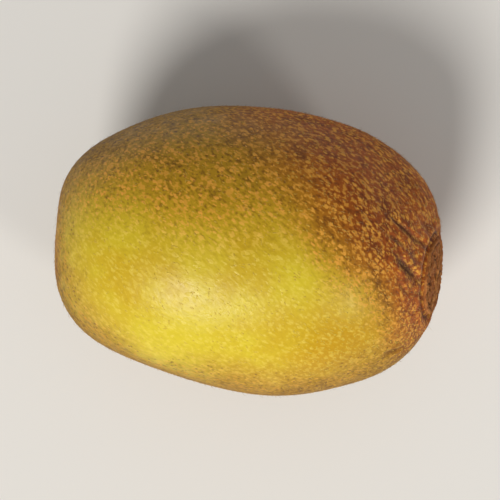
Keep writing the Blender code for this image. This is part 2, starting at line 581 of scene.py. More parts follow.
def ring_angles(shape, skin):
    """Angles of the skin's rings, close together at the two ends."""
    stem_radii = np.linspace(0.0, STEM_ZONE, skin.stem_rings + 1)[1:]
    blossom_radii = np.linspace(BLOSSOM_ZONE, 0.0, skin.blossom_rings + 1)[:-1]
    stem = outline_angle(stem_radii, shape)
    blossom = math.pi - outline_angle(blossom_radii, shape)
    body = np.linspace(stem[-1], blossom[0], skin.body_rings + 2)[1:-1]
    return np.concatenate([stem, body, blossom])


def sharp_creases(turn, radius, lines, wander, shift):
    """Valleys of noise that run in and out from an axis: 1 at the bottom of a crease, 0 between."""
    outward = radius * wander / lines
    plain = on_circle(turn, 1.0, outward)
    bend = 0.16 * noise_at(plain, 3.5, shift + 5.0)
    values = noise_at(on_circle(turn + bend, 1.0, outward), lines, shift)
    strength = smooth_step(-0.35, 0.25, noise_at(plain, 4.0, shift + 9.0))
    return np.exp(-((values / 0.10) ** 2)) * strength


def top_crease(points):
    """Depth of the creases on top of the stem end. It is below 0 on their raised lips."""
    seen = points[..., :2] + CREASE_WANDER * drift_at(points, 330.0, (80.0, 90.0))
    uneven = 1.0 + 0.5 * noise_at(points, 420.0, 100.0)
    depth = np.zeros(points.shape[:-1])
    for start, end, width, deepest in TOP_CREASES:
        share, distance = beside_line(seen, start, end)
        apart = distance / (width / 2)
        taper = np.sin(math.pi * np.clip(share, 0.02, 0.98)) ** 0.6
        valley = np.exp(-(apart**2)) - 0.30 * np.exp(-((apart - 2.2) ** 2))
        depth += deepest * taper * uneven * valley
    return depth * smooth_step(0.45 * FRUIT_SIZE.z, 0.6 * FRUIT_SIZE.z, points[..., 2])


def skin_relief(angle, turn, points, shape, skin, scar):
    """Height of the skin's relief at each point, and how deep in a crease it lies, from 0 to 1."""
    radius = radius_at(angle, shape)
    stem_side = np.cos(angle) > 0.0

    ribs = noise_at(points, (26.0, 210.0, 210.0), 7.0)
    grain = noise_at(points, 900.0, 3.0) + 0.6 * noise_at(points, 2100.0, 9.0)
    relief = skin.lump_height * (noise_at(points, 75.0) + 0.25 * ribs)
    relief += skin.grain_height * grain

    beyond = np.where(stem_side, np.maximum(radius - scar.radius, 0.0), 1.0)
    fine = sharp_creases(turn, radius, lines=5.0, wander=90.0, shift=4.0)
    broad = sharp_creases(turn, radius, lines=2.6, wander=120.0, shift=14.0)
    stem_creases = 0.55 * fine * bell(beyond, FINE_CREASE_REACH)
    stem_creases += 0.45 * broad * bell(beyond, BROAD_CREASE_REACH)
    marked = top_crease(points)
    from_groove = radius - (scar.radius + scar.groove_width / 2)
    in_groove = np.exp(-((from_groove / (scar.groove_width / 2)) ** 2)) * stem_side
    collar = np.exp(-(((from_groove - COLLAR_OUT) / COLLAR_WIDTH) ** 2)) * stem_side
    collar *= 1.0 + 0.5 * noise_at(points, 160.0, 21.0)

    from_blossom = np.where(stem_side, 1.0, radius)
    folds = sharp_creases(turn, radius, lines=3.2, wander=150.0, shift=31.0)
    folds *= bell(from_blossom, FOLD_REACH) * smooth_step(*FOLD_START, from_blossom)

    relief -= skin.stem_crease_depth * stem_creases + marked
    relief -= scar.groove_depth * in_groove
    under_scar = stem_side * (1.0 - smooth_step(0.80 * scar.radius, 0.93 * scar.radius, radius))
    relief -= 1.6 * scar.relief * under_scar
    relief += COLLAR_HEIGHT * collar
    relief -= skin.blossom_crease_depth * folds
    # How deep in a crease, the groove or a fold a point lies; the skin's colour is darkened by it as
    # painted shade
    depths = [0.85 * stem_creases, marked / FULL_CREASE_DEPTH, in_groove**4, 0.9 * folds]
    return relief, np.clip(np.maximum.reduce(depths), 0.0, 1.0)


def stem_middle(shape):
    """Where the stem scar's middle is in the grown fruit."""
    return grown(turned_body(np.array([0.0]), np.array([0.0]), shape), shape)[0]


def blossom_middle(shape):
    """Where the dried flower's middle is in the grown fruit."""
    return grown(turned_body(np.array([math.pi]), np.array([0.0]), shape), shape)[0]


def skin_zones(points, shape):
    """How far each point belongs to each zone of colour, from 0 to 1."""
    wander = EDGE_WANDER * noise_at(points, 90.0, 40.0) + EDGE_FRAY * noise_at(points, 300.0, 50.0)

    def reach_from(place):
        return np.linalg.norm(points - np.array(place), axis=-1) + wander

    stem = stem_middle(shape)
    russet_reach = reach_from(stem) - 0.8 * (points - stem)[:, 1]
    side = points[:, 1] + SIDE_WANDER * noise_at(points, 60.0, 60.0)
    height = points[:, 2] + HEIGHT_WANDER * noise_at(points, 120.0, 70.0)
    height += HEIGHT_FRAY * noise_at(points, 520.0, 75.0)
    patch = 1.0 - smooth_step(*GOLD_REACH, reach_from(GOLD_PATCH))
    band = 0.9 * (1.0 - smooth_step(*GOLD_BAND_HEIGHT, height))
    band *= smooth_step(*GOLD_BAND_ALONG, points[:, 0])
    return {
        "russet": 1.0 - smooth_step(*RUSSET_REACH, russet_reach),
        # The olive zone lies on the side away from the main lamp: partly the skin's own tone, partly
        # painted shade
        "olive": smooth_step(*OLIVE_SIDE, side),
        "halo": 1.0 - smooth_step(*HALO_REACH, reach_from(blossom_middle(shape))),
        # Darker towards the bottom of the fruit: painted shade
        "under": 1.0 - smooth_step(*UNDER_HEIGHT, height),
        "golden": np.maximum(patch, band),
        "dark": 1.0 - smooth_step(*DARK_REACH, reach_from(DARK_PATCH)),
    }


def brownness(zones):
    """How brown the skin is, from 0 in the yellow belly to 1 at the stem end. The side away from the
    main lamp and the underside count in with their painted shade.
    """
    return np.maximum.reduce(
        [zones["russet"], zones["halo"], 0.55 * zones["olive"], 0.6 * zones["under"]]
    )


def place_skin(context):
    """The skin's grid of points with its relief, before it rests on the floor."""
    shape = context.scene.kiwi_shape
    skin = context.scene.kiwi_skin
    scar = context.scene.kiwi_stem_scar
    turns = np.arange(skin.steps_around) * TAU / skin.steps_around
    turn, angle = np.meshgrid(turns, ring_angles(shape, skin))
    smooth = grown(turned_body(angle, turn, shape), shape)
    normals = grid_normals(smooth)
    relief, crease = skin_relief(angle, turn, smooth, shape, skin, scar)
    return smooth + normals * relief[..., None], crease


def new_material(name):
    """A material with an empty Principled shader: its tree and its shader."""
    material = bpy.data.materials.new(name)
    material.use_nodes = True
    tree = material.node_tree
    return material, tree, tree.nodes["Principled BSDF"]


def add_node(tree, kind, **settings):
    node = tree.nodes.new(kind)
    for name, value in settings.items():
        setattr(node, name, value)
    return node


def position_of(tree):
    return add_node(tree, "ShaderNodeTexCoord").outputs["Object"]


def attribute_of(tree, name):
    return add_node(tree, "ShaderNodeAttribute", attribute_name=name).outputs["Fac"]


def noise_of(tree, vector, per_metre, detail=2.0, roughness=0.5, distortion=0.0):
    """Smooth noise, from 0 to 1."""
    node = add_node(tree, "ShaderNodeTexNoise")
    node.inputs["Scale"].default_value = per_metre
    node.inputs["Detail"].default_value = detail
    node.inputs["Roughness"].default_value = roughness
    node.inputs["Distortion"].default_value = distortion
    tree.links.new(vector, node.inputs["Vector"])
    return node.outputs["Fac"]


def marks_of(tree, vector, per_metre, channel, sizes, edge):
    """Scattered marks of many sizes: 1 on a mark, 0 beside it. The channel picks their sizes."""
    node = add_node(tree, "ShaderNodeTexVoronoi", feature="F1")
    node.inputs["Scale"].default_value = per_metre
    tree.links.new(vector, node.inputs["Vector"])
    pick = add_node(tree, "ShaderNodeSeparateColor")
    tree.links.new(node.outputs["Color"], pick.inputs["Color"])
    size = remapped(tree, pick.outputs[channel], *sizes)
    return remapped(tree, maths(tree, "SUBTRACT", size, node.outputs["Distance"]), *edge)


def roughened(tree, vector, per_metre, amount):
    """The position moved about by fine noise, so that marks get ragged edges."""
    cloud = add_node(tree, "ShaderNodeTexNoise")
    cloud.inputs["Scale"].default_value = per_metre
    cloud.inputs["Detail"].default_value = 1.0
    tree.links.new(vector, cloud.inputs["Vector"])
    centred = add_node(tree, "ShaderNodeVectorMath", operation="SUBTRACT")
    centred.inputs[1].default_value = (0.5, 0.5, 0.5)
    tree.links.new(cloud.outputs["Color"], centred.inputs[0])
    moved = add_node(tree, "ShaderNodeVectorMath", operation="MULTIPLY_ADD")
    moved.inputs[1].default_value = (amount, amount, amount)
    tree.links.new(centred.outputs["Vector"], moved.inputs[0])
    tree.links.new(vector, moved.inputs[2])
    return moved.outputs["Vector"]


def stretched(tree, vector, turn, scale):
    """The position turned and stretched, for marks that are longer one way."""
    node = add_node(tree, "ShaderNodeMapping", vector_type="TEXTURE")
    node.inputs["Rotation"].default_value = turn
    node.inputs["Scale"].default_value = scale
    tree.links.new(vector, node.inputs["Vector"])
    return node.outputs["Vector"]


def remapped(tree, value, low, high, new_low=0.0, new_high=1.0):
    """Value eased from one range to another, and held at the ends."""
    node = add_node(tree, "ShaderNodeMapRange", interpolation_type="SMOOTHSTEP")
    node.inputs["From Min"].default_value = low
    node.inputs["From Max"].default_value = high
    node.inputs["To Min"].default_value = new_low
    node.inputs["To Max"].default_value = new_high
    tree.links.new(value, node.inputs["Value"])
    return node.outputs["Result"]


def maths(tree, operation, first, second):
    node = add_node(tree, "ShaderNodeMath", operation=operation)
    for value, socket in zip((first, second), node.inputs):
        if isinstance(value, (int, float)):
            socket.default_value = value
        else:
            tree.links.new(value, socket)
    return node.outputs["Value"]


def times(tree, first, second):
    return maths(tree, "MULTIPLY", first, second)


def mixed(tree, share, first, second, blend="MIX"):
    """One colour over another, by a share that is a socket or a number."""
    node = add_node(tree, "ShaderNodeMix", data_type="RGBA", blend_type=blend)
    for value, socket in ((share, node.inputs[0]), (first, node.inputs[6]), (second, node.inputs[7])):
        if isinstance(value, (int, float)):
            socket.default_value = value
        elif isinstance(value, bpy.types.NodeSocket):
            tree.links.new(value, socket)
        else:
            socket.default_value = (*value, 1.0)
    return node.outputs[2]


def bumped(tree, height, distance, strength=1.0, normal=None):
    node = add_node(tree, "ShaderNodeBump")
    node.inputs["Distance"].default_value = distance
    node.inputs["Strength"].default_value = strength
    tree.links.new(height, node.inputs["Height"])
    if normal is not None:
        tree.links.new(normal, node.inputs["Normal"])
    return node.outputs["Normal"]


def finish_material(tree, colour, roughness, normal, specular):
    """Joins a material's colour, roughness and bump to its shader."""
    shader = tree.nodes["Principled BSDF"]
    tree.links.new(colour, shader.inputs["Base Color"])
    tree.links.new(roughness, shader.inputs["Roughness"])
    if normal is not None:
        tree.links.new(normal, shader.inputs["Normal"])
    shader.inputs["Specular IOR Level"].default_value = specular


def golden_skin_material(skin):
    """Thin dry fruit skin: yellow belly, olive-brown side, russet stem end, dashes and specks."""
    material, tree, shader = new_material("golden_skin")
    place = position_of(tree)
    russet = attribute_of(tree, "russet")
    under = attribute_of(tree, "under")
    # Carries the brown ends and the painted shade of the side away from the lamp and of the underside
    brown = attribute_of(tree, "brownness")

    patches = remapped(tree, noise_of(tree, place, 70.0, 3.0), 0.45, 0.70, 0.0, 0.6)
    patches = maths(tree, "MAXIMUM", patches, attribute_of(tree, "golden"))
    colour = mixed(tree, patches, skin.yellow, skin.gold)
    # Olive-brown on the side away from the main lamp: partly the skin's own tone, partly painted
    # shade
    colour = mixed(tree, attribute_of(tree, "olive"), colour, skin.olive)
    # Painted shade: darker golden brown low on the fruit
    colour = mixed(tree, times(tree, under, 0.9), colour, skin.under_shade_brown)
    colour = mixed(tree, russet, colour, skin.russet)
    colour = mixed(tree, times(tree, attribute_of(tree, "halo"), 0.8), colour, skin.russet)
    dark = times(tree, attribute_of(tree, "dark"), 0.42)
    colour = mixed(tree, dark, colour, skin.shade_tint, "MULTIPLY")

    lie = stretched(tree, place, (0.0, 0.0, math.radians(-36.0)), (1.8, 1.0, 1.2))
    clumps = remapped(tree, noise_of(tree, lie, 360.0, 3.0, 0.6), 0.50, 0.64)
    clumps = times(tree, clumps, remapped(tree, brown, 0.30, 0.70, 0.0, 0.62))
    colour = mixed(tree, clumps, colour, skin.shade_tint, "MULTIPLY")

    streaks = noise_of(tree, lie, 1650.0, 2.0, 0.5)
    dark_share = remapped(tree, brown, 0.0, 0.5, 0.12, 0.72)
    dark_streaks = times(tree, remapped(tree, streaks, 0.28, 0.50, 1.0, 0.0), dark_share)
    colour = mixed(tree, dark_streaks, colour, skin.shade_tint, "MULTIPLY")
    dash_colour = mixed(tree, remapped(tree, brown, 0.0, 0.4), skin.dash_gold, skin.dash_tan)
    # Darker dashes low on the fruit, with the painted shade there
    dash_colour = mixed(tree, under, dash_colour, skin.dash_brown)
    dash_colour = mixed(tree, russet, dash_colour, skin.dash_tan)
    pale_share = remapped(tree, brown, 0.0, 0.4, 0.24, 0.62)
    pale_streaks = times(tree, remapped(tree, streaks, 0.54, 0.61), pale_share)
    colour = mixed(tree, pale_streaks, colour, dash_colour)

    ragged = roughened(tree, lie, 2000.0, 0.7 * MM)
    dash = marks_of(tree, ragged, 1450.0, "Red", (0.10, 0.9, 0.04, 0.42), (-0.10, 0.12))
    dash_share = remapped(tree, brown, 0.0, 0.4, 0.32, 0.92)
    colour = mixed(tree, times(tree, dash, dash_share), colour, dash_colour)
    speck = marks_of(tree, place, 1500.0, "Green", (0.5, 1.0, 0.0, 0.42), (-0.04, 0.08))
    # More dark specks low on the fruit: partly its fuzzy fringe, partly painted shade
    fringe_and_shade = remapped(tree, under, 0.02, 0.40, 0.0, 0.62)
    speck_share = remapped(tree, brown, 0.0, 0.6, 0.02, 0.50)
    speck_share = maths(tree, "MAXIMUM", speck_share, fringe_and_shade)
    colour = mixed(tree, times(tree, speck, speck_share), colour, skin.speck_brown)
    # Painted shade in the bottom of the creases, the groove round the stem scar and the blossom folds
    crease_shade = times(tree, attribute_of(tree, "crease"), 0.85)
    colour = mixed(tree, crease_shade, colour, skin.crease_shade_brown)

    rough = remapped(tree, noise_of(tree, place, 420.0, 3.0), 0.3, 0.7, 0.31, 0.41)
    for zone, added in ((russet, 0.12), (dash, 0.10), (under, 0.32)):
        rough = maths(tree, "ADD", rough, times(tree, zone, added))
    pores = bumped(tree, noise_of(tree, place, 2600.0, 3.0, 0.6), 0.05 * MM, 0.5)
    grain = bumped(tree, streaks, 0.10 * MM, 0.45, pores)
    relief = bumped(tree, dash, 0.04 * MM, 0.5, grain)
    finish_material(tree, colour, rough, relief, specular=0.32)
    shader.inputs["Sheen Weight"].default_value = 0.02
    shader.inputs["Sheen Roughness"].default_value = 0.45
    shader.inputs["Sheen Tint"].default_value = (1.0, 0.80, 0.45, 1.0)
    return material


def cork_material(scar):
    """Dry cork in plates of different tan, worn pale on its rim, with painted shade in its cracks and
    hollows.
    """
    material, tree, _ = new_material("stem_cork")
    place = position_of(tree)
    fibres = noise_of(tree, place, 1500.0, 4.0, 0.65)
    plate = remapped(tree, attribute_of(tree, "tone"), 0.25, 0.75, 0.0, 0.75)
    stain = remapped(tree, noise_of(tree, place, 700.0, 3.0), 0.42, 0.66, 0.0, 0.75)
    streak = remapped(tree, fibres, 0.38, 0.55, 0.30, 0.0)
    colour = mixed(tree, plate, scar.cork, scar.pale_cork)
    colour = mixed(tree, attribute_of(tree, "worn"), colour, scar.pale_cork)
    colour = mixed(tree, stain, colour, scar.cork)
    colour = mixed(tree, streak, colour, scar.fibre_and_crack_shade_brown)
    # Painted shade in the cracks and hollows
    colour = mixed(tree, attribute_of(tree, "crack"), colour, scar.fibre_and_crack_shade_brown)
    rough = remapped(tree, fibres, 0.3, 0.7, 0.74, 0.92)
    finish_material(tree, colour, rough, bumped(tree, fibres, 0.12 * MM, 0.7), specular=0.25)
    return material


def dried_flower_material(flower):
    """Dark brown dried plant, paler along its fibres."""
    material, tree, _ = new_material("dried_flower")
    place = position_of(tree)
    fibres = noise_of(tree, place, 2200.0, 3.0, 0.6)
    pale = [min(1.0, 3.2 * channel) for channel in flower.dry_brown]
    patches = remapped(tree, noise_of(tree, place, 650.0, 2.0), 0.42, 0.62, 0.0, 0.55)
    colour = mixed(tree, patches, flower.dry_brown, pale)
    colour = mixed(tree, remapped(tree, fibres, 0.45, 0.75), colour, pale)
    rough = remapped(tree, fibres, 0.3, 0.7, 0.65, 0.88)
    finish_material(tree, colour, rough, bumped(tree, fibres, 0.06 * MM, 0.6), specular=0.3)
    return material


def lenticel_material(lenticels):
    """Cork dashes, satin in the yellow skin and matte in the brown, each with its own tone."""
    material, tree, _ = new_material("lenticel_cork")
    # Carries the brown ends and the painted shade of the side away from the lamp and of the underside
    brown = attribute_of(tree, "brownness")
    colour = mixed(tree, attribute_of(tree, "tone"), lenticels.brown, lenticels.tan)
    colour = mixed(tree, brown, lenticels.gold, colour)
    fleck = remapped(tree, noise_of(tree, position_of(tree), 3800.0, 2.0), 0.35, 0.7)
    dark = [0.62 * channel for channel in lenticels.brown]
    colour = mixed(tree, times(tree, fleck, 0.25), colour, dark)
    rough = remapped(tree, brown, 0.0, 0.5, 0.38, 0.66)
    rough = maths(tree, "ADD", rough, times(tree, fleck, 0.06))
    finish_material(tree, colour, rough, None, specular=0.32)
    return material


def hair_material(hairs):
    """Fine dry down that catches the light."""
    material, tree, shader = new_material("skin_down")
    tone = attribute_of(tree, "tone")
    dark = [0.35 * channel for channel in hairs.colour]
    colour = mixed(tree, tone, dark, hairs.colour)
    finish_material(tree, colour, remapped(tree, tone, 0.0, 1.0, 0.62, 0.5), None, specular=0.35)
    shader.inputs["Sheen Weight"].default_value = 0.3
    return material


def floor_material(stage):
    """Plain pale matte board."""
    material, tree, shader = new_material("pale_floor")
    cloud = remapped(tree, noise_of(tree, position_of(tree), 6.0, 2.0), 0.3, 0.7, 0.0, 0.05)
    darker = [0.94 * channel for channel in stage.floor_colour]
    colour = mixed(tree, cloud, stage.floor_colour, darker)
    tree.links.new(colour, shader.inputs["Base Color"])
    shader.inputs["Roughness"].default_value = 0.85
    shader.inputs["Specular IOR Level"].default_value = 0.2
    return material


def finish_piece(obj, material):
    """Gives a piece its material and ties it to the fruit."""
    obj.data.materials.append(material)
    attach(obj, "root")


class KIWI_OT_skin(bpy.types.Operator):
    """Builds the skin, with its end hollows, creases and leathery grain"""

    bl_idname = "kiwi.skin"
    bl_label = "Skin"

    def execute(self, context):
        grid, crease = place_skin(context)
        points, faces = closed_body(grid, grid[-1].mean(axis=0))
        points = rested(points)
        skin = add_mesh("kiwi_skin", points, faces)
        zones = skin_zones(points, context.scene.kiwi_shape)
        set_attributes(skin, **zones, brownness=brownness(zones))
        # The last two values are those of the two closing points
        set_attributes(skin, crease=np.append(crease.ravel(), (0.0, 0.3)))
        finish_piece(skin, golden_skin_material(context.scene.kiwi_skin))
        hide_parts("kiwi_fruit")
        return {"FINISHED"}


def cork_plates(spread):
    """Plates of dry cork over a disc of radius 1: gap to the next plate, and each plate's tone."""
    places = spread * 3.1
    places[..., :2] += 0.42 * drift_at(spread, 2.6, (8.0, 18.0))
    plates = []
    for place in places.reshape(-1, 3):
        distances, middles = noise.voronoi(Vector(place), distance_metric="DISTANCE")
        plates.append((distances[1] - distances[0], noise.noise(middles[0] * 5.3)))
    gap, tone = np.array(plates).T
    return gap.reshape(spread.shape[:-1]), tone.reshape(spread.shape[:-1])


def open_cracks(spread):
    """How deep each point lies in one of the open cracks, from 0 to 1."""
    seen = spread[..., :2] + 0.045 * drift_at(spread, 9.0, (81.0, 85.0))
    seen += 0.022 * drift_at(spread, 26.0, (91.0, 95.0))
    depth = np.zeros(spread.shape[:-1])
    for start, end, width in SCAR_CRACKS:
        share, distance = beside_line(seen, start, end)
        taper = np.sin(math.pi * np.clip(share, 0.12, 0.88)) ** 0.5
        depth = np.maximum(depth, np.exp(-((distance / (width / 2) / taper) ** 2)))
    return depth


def scar_relief(share, turn):
    """Height of the cork over a disc of radius 1, then the painted shade of its cracks and hollows,
    its worn places, tone and edge.
    """
    spread = on_circle(turn, share)
    gap, tone = cork_plates(spread)

    def waves(per_metre, shift):
        return noise_at(spread, per_metre, shift)

    def ring_at(middle, width):
        return np.exp(-(((share - middle) / width) ** 2))

    inner = 1.0 - smooth_step(0.78, 0.86, share)
    away = smooth_step(0.20, 0.34, share)
    wide = smooth_step(-0.22, 0.30, waves(2.0, 4.0))
    crevice = np.exp(-((gap / (0.04 + 0.08 * wide)) ** 2)) * (0.25 + 0.55 * wide) * inner * away
    crack = open_cracks(spread) * inner
    crumple = 1.0 - 2.2 * np.abs(waves(7.0, 71.0) + 0.55 * waves(16.0, 75.0))
    ridge = smooth_step(0.45, 0.95, crumple) * inner
    valley = smooth_step(0.30, -0.25, crumple) * inner

    ring = ring_at(RIM_AT + 0.015 * waves(3.0, 31.0), 0.050)
    nicks = np.exp(-((noise_at(on_circle(turn, 1.0, 0.4 * share), 8.0, 44.0) / 0.13) ** 2)) * ring
    ring_groove = ring_at(RIM_GROOVE_AT + 0.02 * waves(2.2, 36.0), 0.028)
    ring_groove *= smooth_step(-0.40, 0.15, waves(2.4, 52.0))
    curl_turn = turn + 5.0 * share
    curl = ring_at(CURL_AT + 0.02 * waves(5.0, 61.0), 0.042)
    curl *= 0.15 + 0.85 * smooth_step(-0.2, 0.5, np.cos(2.0 * curl_turn - 0.6))
    pit = ring_at(0.0, 0.095)
    fall = smooth_step(0.955, 1.0, share)

    height = 0.30 + 0.40 * ring + 0.50 * curl - 0.35 * pit + 0.24 * tone * inner
    height += 0.20 * crumple + 0.06 * waves(30.0, 77.0) - 0.45 * crevice - 0.85 * crack
    height -= 0.34 * ring_groove + 0.20 * nicks
    # Painted shade: darker in the crevices, cracks, groove, middle pit, nicks and low places, and
    # where the edge falls into the groove
    dark = 0.95 * crevice + 1.5 * crack + 0.75 * ring_groove
    dark += 0.6 * pit + 0.5 * nicks + 0.30 * valley
    dark = np.maximum(np.clip(dark, 0.0, 1.0), 0.8 * fall)
    pale = 0.32 * ring + 0.95 * curl + 0.55 * ridge + 0.30 * inner * smooth_step(0.05, 0.4, tone)
    return height, dark, np.clip(pale, 0.0, 1.0) * (1.0 - fall), 0.5 + 0.5 * tone, fall


class KIWI_OT_stem_scar(bpy.types.Operator):
    """Builds the round corky scar that the stalk left, with its rim, plates and cracks"""

    bl_idname = "kiwi.stem_scar"
    bl_label = "Stem scar"

    rings: count_setting("Rings", "Rings of points", 96, 8)
    steps: count_setting("Steps", "Points around", 240, 12)

    def execute(self, context):
        shape = context.scene.kiwi_shape
        scar = context.scene.kiwi_stem_scar
        steps = np.arange(self.steps) * TAU / self.steps
        turn, share = np.meshgrid(steps, np.linspace(0.01, 1.0, self.rings))
        # The second value is the painted shade of the cork's cracks and hollows
        height, crack, worn, tone, fall = scar_relief(share, turn)
        ragged = 1.0 + 0.03 * noise_at(on_circle(turn), 2.4, 5.0) * share
        rise = scar.relief * height - (scar.relief + scar.groove_depth) * fall
        top = grown(over_end(1, scar.radius * share * ragged, turn, rise, shape), shape)
        foot = stem_middle(shape) - np.array([SCAR_FOOT, 0.0, 0.0])
        disc = add_mesh("stem_scar", *closed_body(top, foot))
        # The last two values are those of the two closing points
        set_attributes(
            disc,
            crack=np.append(crack.ravel(), (0.8, 1.0)),
            worn=np.append(worn.ravel(), (0.0, 0.0)),
            tone=np.append(tone.ravel(), (0.5, 0.5)),
        )
        finish_piece(disc, cork_material(scar))
        return {"FINISHED"}


def tube_along(path, radii, sides):
    """Points and faces of a closed tube along a path of points."""
    points = []
    faces = []
    side_axis = np.array([0.31, 0.87, 0.38])
    for index, place in enumerate(path):
        before = path[max(index - 1, 0)]
        after = path[min(index + 1, len(path) - 1)]
        run = (after - before) / np.linalg.norm(after - before)
        across = np.cross(run, side_axis)
        across /= np.linalg.norm(across)
        up = np.cross(across, run)
        for side in range(sides):
            angle = TAU * side / sides
            points.append(place + radii[index] * (math.cos(angle) * across + math.sin(angle) * up))
    for ring in range(len(path) - 1):
        for side in range(sides):
            following = (side + 1) % sides
            low = ring * sides
            high = low + sides
            faces.append((low + side, low + following, high + following, high + side))
    faces.append(tuple(reversed(range(sides))))
    faces.append(tuple(range((len(path) - 1) * sides, len(path) * sides)))
    return points, faces


class KIWI_OT_flower_remains(bpy.types.Operator):
    """Builds the dried flower tips that stay in the blossom end"""

    bl_idname = "kiwi.flower_remains"
    bl_label = "Flower remains"

    def execute(self, context):
        shape = context.scene.kiwi_shape
        flower = context.scene.kiwi_flower_remains
        random = np.random.default_rng(flower.seed)
        points = []
        faces = []
        parts = [self.strand(shape, flower, random) for _ in range(flower.strands)]
        for part_points, part_faces in (*parts, self.hub(shape, flower)):
            faces += [tuple(corner + len(points) for corner in face) for face in part_faces]
            points += list(part_points)
        tuft = add_mesh("flower_remains", np.array(points), faces)
        finish_piece(tuft, dried_flower_material(flower))
        return {"FINISHED"}

    def strand(self, shape, flower, random):
        """One dried flower tip, bowed and kinked, with a small knob near its end."""
        share = np.linspace(0.0, 1.0, STRAND_POINTS)
        start = random.uniform(0.1, 0.9) * flower.hub_radius
        reach = start + (flower.reach - start) * random.beta(1.6, 1.8)
        turn = random.uniform(0.0, TAU)
        bow = random.normal(0.0, 0.55)
        twist = random.normal(0.0, 0.22)
        curl = np.sin(share * math.pi * random.uniform(1.5, 3.0))
        heading = turn + bow * share**1.5 + twist * curl
        lift = random.uniform(0.05, 1.0) * STRAND_LIFT
        rise = STRAND_GAP + lift * np.sin(share * math.pi * random.uniform(0.6, 1.1))
        path = over_end(-1, start + (reach - start) * share, heading, rise, shape)
        kinks = drift_at(path, 900.0, [7.0 * turn + axis for axis in range(3)])
        path += STRAND_KINK * kinks * share[:, None]
        thickness = flower.thickness / 2 * random.uniform(0.55, 1.1)
        knob = 0.5 * random.uniform(0.0, 1.0) * np.exp(-(((share - 0.95) / 0.06) ** 2))
        radii = thickness * (1.0 - 0.6 * share + knob + 0.12 * np.sin(share * 31.0 + turn))
        return tube_along(grown(path, shape), radii, STRAND_SIDES)

    def hub(self, shape, flower):
        """The ragged dry stub that the tips grow from."""
        shares = np.linspace(0.08, 1.0, HUB_RINGS)
        turns = np.arange(HUB_STEPS) * TAU / HUB_STEPS
        share, turn = np.meshgrid(shares, turns, indexing="ij")
        spread = on_circle(turn, share)
        lumps = noise_at(spread, 4.0, 3.0) + 0.8 * noise_at(spread, 9.0, 13.0)
        radius = flower.hub_radius * share * (1.0 + 0.18 * lumps)
        dome = np.sqrt(np.clip(1.0 - share**2, 0.0, 1.0))
        rise = HUB_DOME * dome + HUB_LUMPS * lumps - HUB_SUNK
        top = grown(over_end(-1, radius, turn, rise, shape), shape)
        points, faces = closed_body(top, blossom_middle(shape) + np.array([HUB_FOOT, 0.0, 0.0]))
        return points, [tuple(reversed(face)) for face in faces]


def face_values(data, name, width):
    """One number or vector for each face of a mesh."""
    values = np.empty(len(data.polygons) * width)
    data.polygons.foreach_get(name, values)
    return values.reshape(-1, width)


def scatter(skin, count, random, likely):
    """Random places on the skin: points, normals and the direction of the stem end.

    likely gives each face's weight from the middle of the face.
    """
    middles = face_values(skin.data, "center", 3)
    weights = face_values(skin.data, "area", 1)[:, 0] * likely(middles)
    picked = random.choice(len(middles), size=count, replace=False, p=weights / weights.sum())
    normal = face_values(skin.data, "normal", 3)[picked]
    ahead = np.array([1.0, 0.0, 0.0]) - normal * normal[:, :1]
    ahead /= np.linalg.norm(ahead, axis=1, keepdims=True)
    return middles[picked], normal, ahead


def turned(ahead, normal, angle):
    """A direction in the skin, turned about the normal."""
    aside = np.cross(normal, ahead)
    return ahead * np.cos(angle)[:, None] + aside * np.sin(angle)[:, None]


def repeated(faces, count, corners):
    """The faces of one small body, again for each of many bodies with as many corners."""
    return [
        tuple(first + corner for corner in face)
        for first in range(0, count * corners, corners)
        for face in faces
    ]


